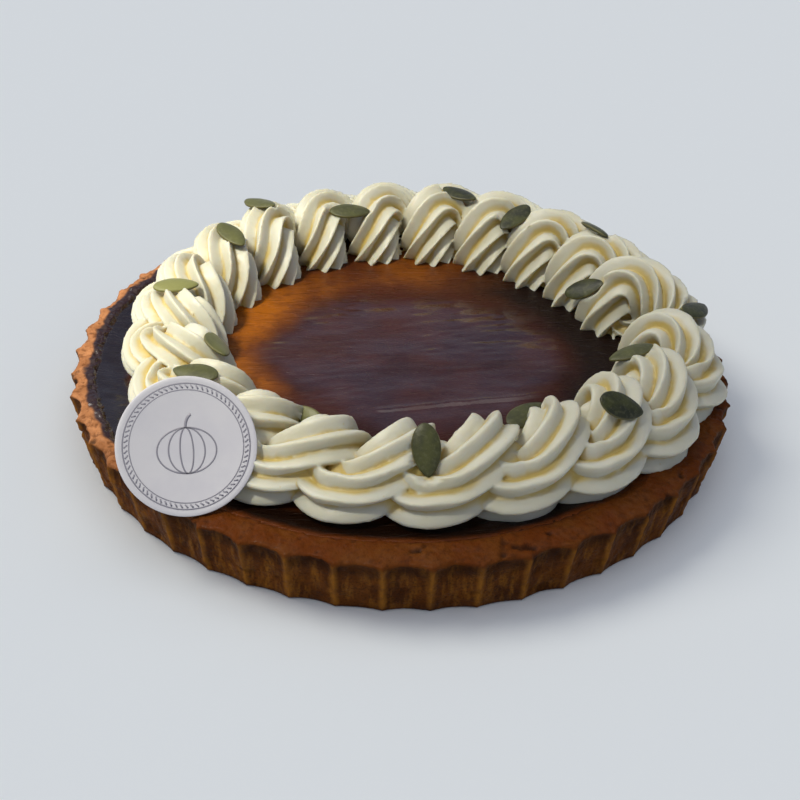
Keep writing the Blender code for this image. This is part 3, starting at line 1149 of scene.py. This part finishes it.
@dataclass
class CreamBorder(Piece):
    """The piped border: one star-shaped strand in overlapping loops, piped clockwise."""

    centre: tuple[float, float] = (0.0050, 0.0045)
    radius: float = 0.0842
    wander: tuple[Place, ...] = ((2, 0.0009, -50.0), (3, 0.0016, -28.0), (4, 0.0009, -91.0))
    loops: float = 20.80
    tail_start: float = 20.42
    tail_taper: float = 0.62
    first_loop: float = -17.0
    loop_step: float = 16.75
    reach: float = 0.0092
    back: float = 0.0068
    rise: float = 0.0060
    waves: tuple[Place, ...] = ((1, 0.0075, -19.0), (2, 0.0038, -32.0))
    tilt: float = 0.0060
    skew: float = math.radians(38.0)
    swell: float = 0.04
    swell_turn: float = math.radians(25.0)
    chance: float = 0.035
    spiral_start: float = 0.7
    spiral_lag: float = 0.39
    spiral_eye: float = 0.25
    strand: float = 0.0108
    ridges: int = 8
    groove: float = 0.41
    samples: int = 56
    per_ridge: int = 10
    sharpness: float = 0.46
    sharp_swing: float = 0.20
    sharp_turn: float = math.radians(105.0)
    roll: float = 1.6
    roll_swing: float = 0.9
    roll_turn: float = math.radians(105.0)
    voxel: float = 0.00048
    share: float = 0.163
    dent_slope: float = 0.012
    dent_reach: float = 0.0045
    bed_lap: float = 0.0008
    curds: Relief = Relief(0.00022, 0.0060, 51)
    fine_curds: Relief = Relief(0.00008, 0.0016, 55, 1)

    def loop_turn(self, progress: float) -> float:
        """Finds where on the border the nozzle is.

        Args:
            progress: how many loops are piped.

        Returns:
            Azimuth of the loop that is being piped.
        """
        if progress >= 1.0:
            advance = progress - 0.5
        else:
            advance = max(progress, 0.0) ** 2 * (0.5 + self.spiral_lag) - self.spiral_lag
        return math.radians(self.first_loop - self.loop_step * advance)

    def swing(self, turn: float, spin: float, spread: float) -> Vector:
        """Swings the nozzle round a leaning, skewed ellipse.

        Args:
            turn: azimuth on the border.
            spin: how far round the loop the nozzle is.
            spread: size of the loop.

        Returns:
            Its offset from the middle of the border.
        """
        outward, behind = side_ways(turn)
        offset = behind * self.back * math.sin(spin + self.skew) - outward * self.reach * math.cos(spin)
        offset.z = sum(size * math.sin(count * spin + math.radians(phase))
                       for count, size, phase in self.waves)
        return offset * spread + Vector((0.0, 0.0, self.rise))

    def path(self, base: float) -> list[tuple[Vector, Vector, float, float, float]]:
        """Stations of the strand.

        Args:
            base: the height that the border lies on.

        Returns:
            For each station its point, the axis of its loop, the strand's radius, how far the
            star has rolled round the strand, and its azimuth.
        """
        rng = random.Random(7)
        chances = [rng.uniform(-self.chance, self.chance) for _ in range(int(self.loops) + 2)]
        stations = []
        rolled = 0.0
        for step in range(-int(self.spiral_start * self.samples), int(self.loops * self.samples) + 1):
            progress = step / self.samples
            turn = self.loop_turn(progress)
            loop = int(max(progress, 0.0))
            chance = chances[loop] + (chances[loop + 1] - chances[loop]) * max(progress - loop, 0.0)
            size = 1.0 + chance + self.swell * math.cos(turn - self.swell_turn)
            opening = min(1.0, self.spiral_eye + (1.0 - self.spiral_eye) * (progress + self.spiral_start))
            middle = self.radius + sum(amount * math.cos(count * turn - math.radians(phase))
                                       for count, amount, phase in self.wander)
            outward, behind = side_ways(turn)
            point = Vector((*self.centre, base)) + outward * middle
            point += self.swing(turn, math.tau * progress, size * opening)
            axis = outward.cross(behind * self.back + Vector((0.0, 0.0, self.tilt)))
            tail = max(0.0, progress - self.tail_start) / (self.loops - self.tail_start)
            radius = self.strand * size * (1.0 - self.tail_taper * tail)
            stations.append((point, axis.normalized(), radius, rolled, turn))
            speed = self.roll + self.roll_swing * math.cos(turn - self.roll_turn)
            rolled -= speed * math.tau / self.samples
        return stations

    def star(self, turn: float) -> np.ndarray:
        """The star's outline.

        Args:
            turn: azimuth on the border; the ridges are sharpest round sharp_turn.

        Returns:
            Angle and reach round the strand, one row for each point.
        """
        count = self.ridges * self.per_ridge
        across = (np.arange(count) % self.per_ridge) / self.per_ridge
        sharp = self.sharpness + self.sharp_swing * math.cos(turn - self.sharp_turn)
        hump = sharp * (1.0 - np.abs(np.cos(np.pi * across))) + (1.0 - sharp) * np.sin(np.pi * across)
        return np.stack([np.arange(count) * math.tau / count, 1.0 - self.groove * (1.0 - hump)], 1)

    def strand_rings(self, base: float) -> np.ndarray:
        """Turns the star along the strand.

        Args:
            base: the height that the border lies on.

        Returns:
            Rings of points, in the order of piping.
        """
        stations = self.path(base)
        rings = []
        for index, (point, axis, radius, rolled, turn) in enumerate(stations):
            star = self.star(turn)
            before = stations[max(index - 1, 0)][0]
            after = stations[min(index + 1, len(stations) - 1)][0]
            side = (after - before).cross(axis).normalized()
            upward = side.cross(after - before).normalized()
            turned = star[:, 0] + rolled
            spokes = np.outer(np.cos(turned), side) + np.outer(np.sin(turned), upward)
            rings.append(np.array(point) + spokes * (radius * star[:, 1])[:, None])
        return np.array(rings)

    def fused(self, rough: Thing) -> Mesh:
        """Makes one skin over the overlapping loops.

        Args:
            rough: the strand, which runs through itself.

        Returns:
            The skin.
        """
        fuse = rough.modifiers.new("fuse", "REMESH")
        fuse.mode = "VOXEL"
        fuse.voxel_size = self.voxel
        thin = rough.modifiers.new("thin", "DECIMATE")
        thin.ratio = self.share
        graph = bpy.context.evaluated_depsgraph_get()
        return bpy.data.meshes.new_from_object(rough.evaluated_get(graph))

    def bedded(self, points: np.ndarray) -> np.ndarray:
        """Presses a dent into the cream under each seed.

        Args:
            points: the cream's vertices.

        Returns:
            The vertices with the dents.
        """
        for name in seed_nodes():
            seed = places(bpy.data.objects[name].data)
            centre, axes = main_axes(seed)
            turn = np.array(axes)
            half = np.abs((seed - np.array(centre)) @ turn).max(0)
            local = (points - np.array(centre)) @ turn
            around = np.hypot(local[:, 0] / (half[0] + 0.0003), local[:, 1] / (half[1] + 0.0003))
            under = -half[2] * np.sqrt(np.clip(1.0 - around**2, 0.0, 1.0)) - 0.0002
            limit = np.where(around < 1.0, under, (around - 1.0) * self.dent_slope)
            pressed = (around < 1.5) & (local[:, 2] > limit) & (local[:, 2] < self.dent_reach)
            local[pressed, 2] = limit[pressed]
            points = np.array(centre) + local @ turn.T
        return points

    def build(self) -> None:
        """Builds and dresses the border."""
        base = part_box("filling")[1].z
        rings = self.strand_rings(base)
        flat = rings.reshape(-1, 3)
        flat[:, 2] = np.maximum(flat[:, 2], base - self.bed_lap)
        rough = ring_body("strand", rings)
        mesh = self.fused(rough)
        bpy.data.objects.remove(rough)
        mesh.name = "piped_border"
        mesh.shade_smooth()
        made = in_scene("piped_border", mesh)
        points, out = places(mesh), facings(mesh)
        shown = smooth_step(points[:, 2], base, base + 0.002)
        uneven = self.curds.over(points) + self.fine_curds.over(points)
        move_to(mesh, self.bedded(points + out * (uneven * shown)[:, None]))
        # The groove values drive painted shade that tints the grooves yellow.
        paint(mesh, "groove", spread_out(mesh, hollowness(mesh, 14, 0.00055), 2)[:, 0])
        self.settle(made, Cream(), "cream", "cream_border")


@dataclass
class Seeds(Piece):
    """The shelled pumpkin seeds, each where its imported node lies."""

    columns: int = 28
    rows: int = 26
    # Painted sunlight: how far each seed is drawn paler, most for the sunlit seeds at the left.
    pale: tuple[float, ...] = (0.3, 0.3, 0.15, 0.0, 0.0, 0.1, 0.0, 0.0,
                               0.2, 0.0, 0.1, 0.1, 0.45, 0.2, 0.3, 0.85)
    growth: Place = (1.0, 1.04, 1.1)

    def shape(self, name: str, size: np.ndarray, rng: random.Random) -> Thing:
        """A seed lying flat along X.

        Args:
            name: the piece's name.
            size: its length, width and thickness.
            rng: varies the seed.

        Returns:
            The seed, with its edge painted.
        """
        turns, _ = circle(self.columns)
        blunt = rng.uniform(0.56, 0.66)
        bow = rng.uniform(-0.0004, 0.0007)
        rows = []
        for share in 0.5 - 0.5 * np.cos(np.linspace(0.02, 0.985, self.rows) * np.pi):
            swell = (math.sin(math.pi * share**0.86)) ** blunt
            lens = np.sign(np.sin(turns)) * np.abs(np.sin(turns)) ** 1.15
            across = np.cos(turns) * swell * size[1] / 2.0
            along = np.full(self.columns, (share - 0.5) * size[0])
            up = lens * size[2] / 2.0 * swell**0.6 + bow * (4.0 * (share - 0.5) ** 2)
            rows.append(np.column_stack([along, across, up]))
        made = ring_body(name, np.array(rows))
        points = places(made.data)
        rim = np.tile(np.abs(np.cos(turns)), self.rows)
        ridge = 0.00012 * smooth_step(rim, 0.78, 0.95) * np.sign(points[:, 2] + 1e-9)
        points[:, 2] += ridge + Relief(0.00010, 0.004, rng.randrange(1000)).over(points)
        move_to(made.data, points)
        paint(made.data, "edge", 0.8 * smooth_step(rim, 0.93, 0.995))
        return made

    def build(self) -> None:
        """Builds and dresses the seeds."""
        rng = random.Random(19)
        skin = SeedSkin().make(self.effects)
        for number, name in enumerate(seed_nodes(), start=1):
            points = places(bpy.data.objects[name].data)
            centre, axes = main_axes(points)
            spread = (points - np.array(centre)) @ np.array(axes)
            size = (spread.max(0) - spread.min(0)) * np.array(self.growth)
            made = self.shape(f"pumpkin_seed_{number:02d}", size, rng)
            paint(made.data, "pale", np.full(len(made.data.vertices), self.pale[number - 1]))
            if rng.random() < 0.5:
                axes = axes @ Matrix.Rotation(math.pi, 3, "Z")
            made.data.transform(Matrix.Translation(centre) @ axes.to_4x4())
            # Painted sunlight on this seed, as listed in pale.
            self.settle(made, skin, "seed", name)


@dataclass
class Tag(Piece):
    """The round tag, with a raised edge, a printed double ring and a plain pumpkin drawing."""

    columns: int = 160
    bevel: float = 0.00025
    ring_radii: tuple[Spot, ...] = ((0.0184, 0.0180), (0.0165, 0.0162))
    panel: Spot = (0.0190, 0.0188)
    sink: float = 0.00008
    hub: float = 0.002
    ticks: int = 72
    tick_ends: Spot = (0.0168, 0.0178)
    tick_lean: float = 0.05
    print_height: float = 0.00006
    print_root: float = 0.00004
    line: float = 0.00045
    fruit_centre: Spot = (0.0, -0.0012)
    fruit_widths: tuple[float, ...] = (0.0085, 0.0052, 0.0019)
    fruit_height: float = 0.0066
    stem_centre: Spot = (0.0022, 0.0052)
    stem_size: Spot = (0.0022, 0.0040)
    stem_line: float = 0.00081

    def disc(self, radius: float, half: float) -> Thing:
        """Makes the card disc with rounded edges, facing +Z.

        Args:
            radius: its radius.
            half: half its thickness.

        Returns:
            The disc.
        """
        _, direction = circle(self.columns)
        soft, low = self.bevel * 0.3, half - self.sink
        edge = ((radius - self.bevel, half), (radius - soft, half - soft), (radius, half - self.bevel))
        profile = [(self.hub, -half), *((reach, -z) for reach, z in edge), *edge[::-1]]
        profile += [(self.panel[0], half), (self.panel[1], low), (self.hub, low)]
        return ring_body("round_tag", np.array([level_ring(direction, *step) for step in profile]))

    def ribbon(self, line: np.ndarray, width: float, height: float, closed: bool = False) -> Thing:
        """A thin raised printed line.

        Args:
            line: its points in the plane of the face.
            width: its width.
            height: the height of the face.
            closed: whether it runs back to its start.

        Returns:
            The line as a closed body.
        """
        ahead, behind = np.roll(line, -1, 0), np.roll(line, 1, 0)
        if not closed:
            ahead[-1], behind[0] = line[-1], line[0]
        run = ahead - behind
        run /= np.linalg.norm(run, axis=1)[:, None]
        side = np.stack([-run[:, 1], run[:, 0]], 1) * width / 2.0
        low, high = height - self.print_root, height + self.print_height
        corners = ((1, low), (1, high), (-1, high), (-1, low))
        rings = np.array([[(*(spot + step * turn), z) for turn, z in corners]
                          for spot, step in zip(line, side)])
        if closed:
            rings = np.concatenate([rings, rings[:1]])
        return ring_body("line", rings)

    @staticmethod
    def arc(centre: Spot, size: Spot, start: float, end: float) -> np.ndarray:
        """Points on part of an ellipse, in degrees."""
        turns = np.radians(np.linspace(start, end, 41))
        return np.array(centre) + np.array(size) * np.stack([np.cos(turns), np.sin(turns)], 1)

    def drawing(self, height: float) -> Thing:
        """Prints the double ring and a plain pumpkin in outline.

        Args:
            height: the height of the printed face.

        Returns:
            The print as one piece.
        """
        lines = []
        for outer, inner in self.ring_radii:
            ring = circle(120)[1] * (outer + inner) / 2.0
            lines.append(self.ribbon(ring, outer - inner, height, closed=True))
        for turn in circle(self.ticks)[0]:
            ends = zip(self.tick_ends, (turn, turn + self.tick_lean))
            tick = np.array([(reach * math.cos(spot), reach * math.sin(spot)) for reach, spot in ends])
            lines.append(self.ribbon(tick, self.line, height))
        for width, start in product(self.fruit_widths, (-90.0, 90.0)):
            half = self.arc(self.fruit_centre, (width, self.fruit_height), start, start + 180.0)
            lines.append(self.ribbon(half, self.line, height))
        stem = self.arc(self.stem_centre, self.stem_size, 180.0, 100.0)
        lines.append(self.ribbon(stem, self.stem_line, height))
        return joined_body("tag_print", lines)

    def build(self) -> None:
        """Builds and dresses the tag."""
        points = places(bpy.data.objects["tag"].data)
        centre, axes = main_axes(points)
        facing = Vector(axes.col[2])
        uphill = (Vector((0.0, 0.0, 1.0)) - facing * facing.z).normalized()
        upright = Matrix((uphill.cross(facing), uphill, facing)).transposed()
        spread = (points - np.array(centre)) @ np.array(upright)
        radius, half = float(spread[:, 0].max()), float(spread[:, 2].max())
        place = Matrix.Translation(centre) @ upright.to_4x4()
        card = self.disc(radius, half)
        card.data.transform(place)
        self.settle(card, Card(), "tag", "tag")
        drawing = self.drawing(half - self.sink)
        drawing.data.transform(place)
        self.settle(drawing, Finish("ink", tone(128, 126, 134), 0.45), "tag")


# ---- The studio --------------------------------------------------


@dataclass(frozen=True)
class Lamp:
    """A distant lamp: its strength, how wide it looks from the tart, and where it shines from."""

    name: str
    power: float
    angle: float
    source: Place


@dataclass
class Studio:
    """A pale floor, a weak key and a wide overhead lamp, a warm spot on the left, and the camera."""

    effects: SharedEffects
    elevation: float = math.radians(33.93)
    distance: float = 0.46488
    roll: float = math.radians(1.93)
    lens: float = 58.5
    sensor: float = 36.0
    floor_size: float = 60.0
    lamps: tuple[Lamp, ...] = (Lamp("key", 1.1, math.radians(30.0), (-0.68, 0.30, 0.80)),
                               Lamp("top", 0.92, math.radians(80.0), (-0.10, 0.10, 1.0)),
                               Lamp("fill", 0.3, math.radians(80.0), (0.15, -0.80, 0.62)))
    spot_power: float = 56.0
    spot_cone: float = math.radians(16.5)
    spot_blend: float = 0.7
    spot_size: float = 0.09
    spot_from: Place = (-0.36, -0.36, 0.86)
    spot_at: Place = (-0.066, 0.027, 0.02)
    horizon: Colour = tone(200, 215, 250)
    zenith: Colour = tone(112, 140, 200)
    backdrop: Colour = tone(210, 214, 218)
    sky_power: float = 0.39
    warm: Place = (1.0, 0.965, 0.90)
    sunny: Place = (1.0, 0.95, 0.80)

    def camera(self) -> None:
        """Looks down on the tart from the front."""
        lens = bpy.data.cameras.new("camera")
        lens.lens, lens.sensor_width = self.lens, self.sensor
        eye = in_scene("camera", lens)
        back = Vector((0.0, -math.cos(self.elevation), math.sin(self.elevation)))
        right = Vector((1.0, 0.0, 0.0))
        upward = back.cross(right)
        level = right * math.cos(self.roll) + upward * math.sin(self.roll)
        above = upward * math.cos(self.roll) - right * math.sin(self.roll)
        place = Matrix((level, above, back)).transposed().to_4x4()
        place.translation = back * self.distance
        eye.matrix_world = place
        bpy.context.scene.camera = eye

    def floor(self) -> None:
        """A plain pale floor."""
        mesh = bpy.data.meshes.new("floor")
        half = self.floor_size / 2.0
        corners = [(-half, -half, 0.0), (half, -half, 0.0), (half, half, 0.0), (-half, half, 0.0)]
        mesh.from_pydata(corners, [], [(0, 1, 2, 3)])
        made = in_scene("floor", mesh)
        mesh.materials.append(Finish("floor", tone(242, 245, 240), 0.9, 0.1).make(self.effects))

    @staticmethod
    def aimed(made: Thing, source: Place, target: Place = (0.0, 0.0, 0.0)) -> None:
        """Stands a light off a target and turns it to shine there.

        Args:
            made: the light.
            source: where it stands, from the target.
            target: what it shines at.
        """
        place = Vector(source).to_track_quat("Z", "Y").to_matrix().to_4x4()
        place.translation = Vector(target) + Vector(source)
        made.matrix_world = place

    def spot(self) -> None:
        """A warm spot on the tart's left half; it lights the tart and not the floor."""
        light = bpy.data.lights.new("spot", "SPOT")
        light.energy, light.color = self.spot_power, self.sunny
        light.spot_size, light.spot_blend = self.spot_cone, self.spot_blend
        light.shadow_soft_size = self.spot_size
        made = in_scene("spot", light)
        self.aimed(made, self.spot_from, self.spot_at)
        lit = bpy.data.collections.new("lit_by_spot")
        for piece in bpy.context.scene.objects:
            if piece.type == "MESH" and piece.name != "floor":
                lit.objects.link(piece)
        made.light_linking.receiver_collection = lit

    def light(self) -> None:
        """The distant lamps, and the room's light with a pale backdrop behind the tart."""
        for lamp in self.lamps:
            light = bpy.data.lights.new(lamp.name, "SUN")
            light.energy, light.angle, light.color = lamp.power, lamp.angle, self.warm
            self.aimed(in_scene(lamp.name, light), lamp.source)
        world = bpy.data.worlds.new("room")
        world.use_nodes = True
        recipe = Recipe(world.node_tree)
        around = recipe.add("ShaderNodeTexCoord").outputs["Generated"]
        height = recipe.add("ShaderNodeSeparateXYZ", inputs={"Vector": around}).outputs["Z"]
        glow = world.node_tree.nodes["Background"]
        sky = recipe.mix(recipe.sharpen(height, 0.3, 0.85), self.horizon, self.zenith)
        seen = recipe.add("ShaderNodeLightPath").outputs["Is Camera Ray"]
        recipe.feed(glow.inputs["Color"], recipe.mix(seen, sky, self.backdrop))
        beyond = recipe.work(Step.TIMES, seen, 1.0 - self.sky_power)
        recipe.feed(glow.inputs["Strength"], recipe.work(Step.PLUS, beyond, self.sky_power))
        bpy.context.scene.world = world
        bpy.context.scene.view_settings.view_transform = "Standard"

    def build(self) -> None:
        """Sets up the camera, the floor and the light."""
        self.camera()
        self.floor()
        self.light()
        LOG.info("studio ready")


def main() -> None:
    """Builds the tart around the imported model, and the studio round it."""
    logging.basicConfig(level=logging.INFO, format="%(name)s: %(message)s")
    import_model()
    effects = SharedEffects()
    studio = Studio(effects)
    studio.build()
    well = Well()
    Crust(effects, well).build()
    Filling(effects, well).build()
    CreamBorder(effects).build()
    Seeds(effects).build()
    Tag(effects).build()
    studio.spot()


if __name__ == "__main__":
    main()
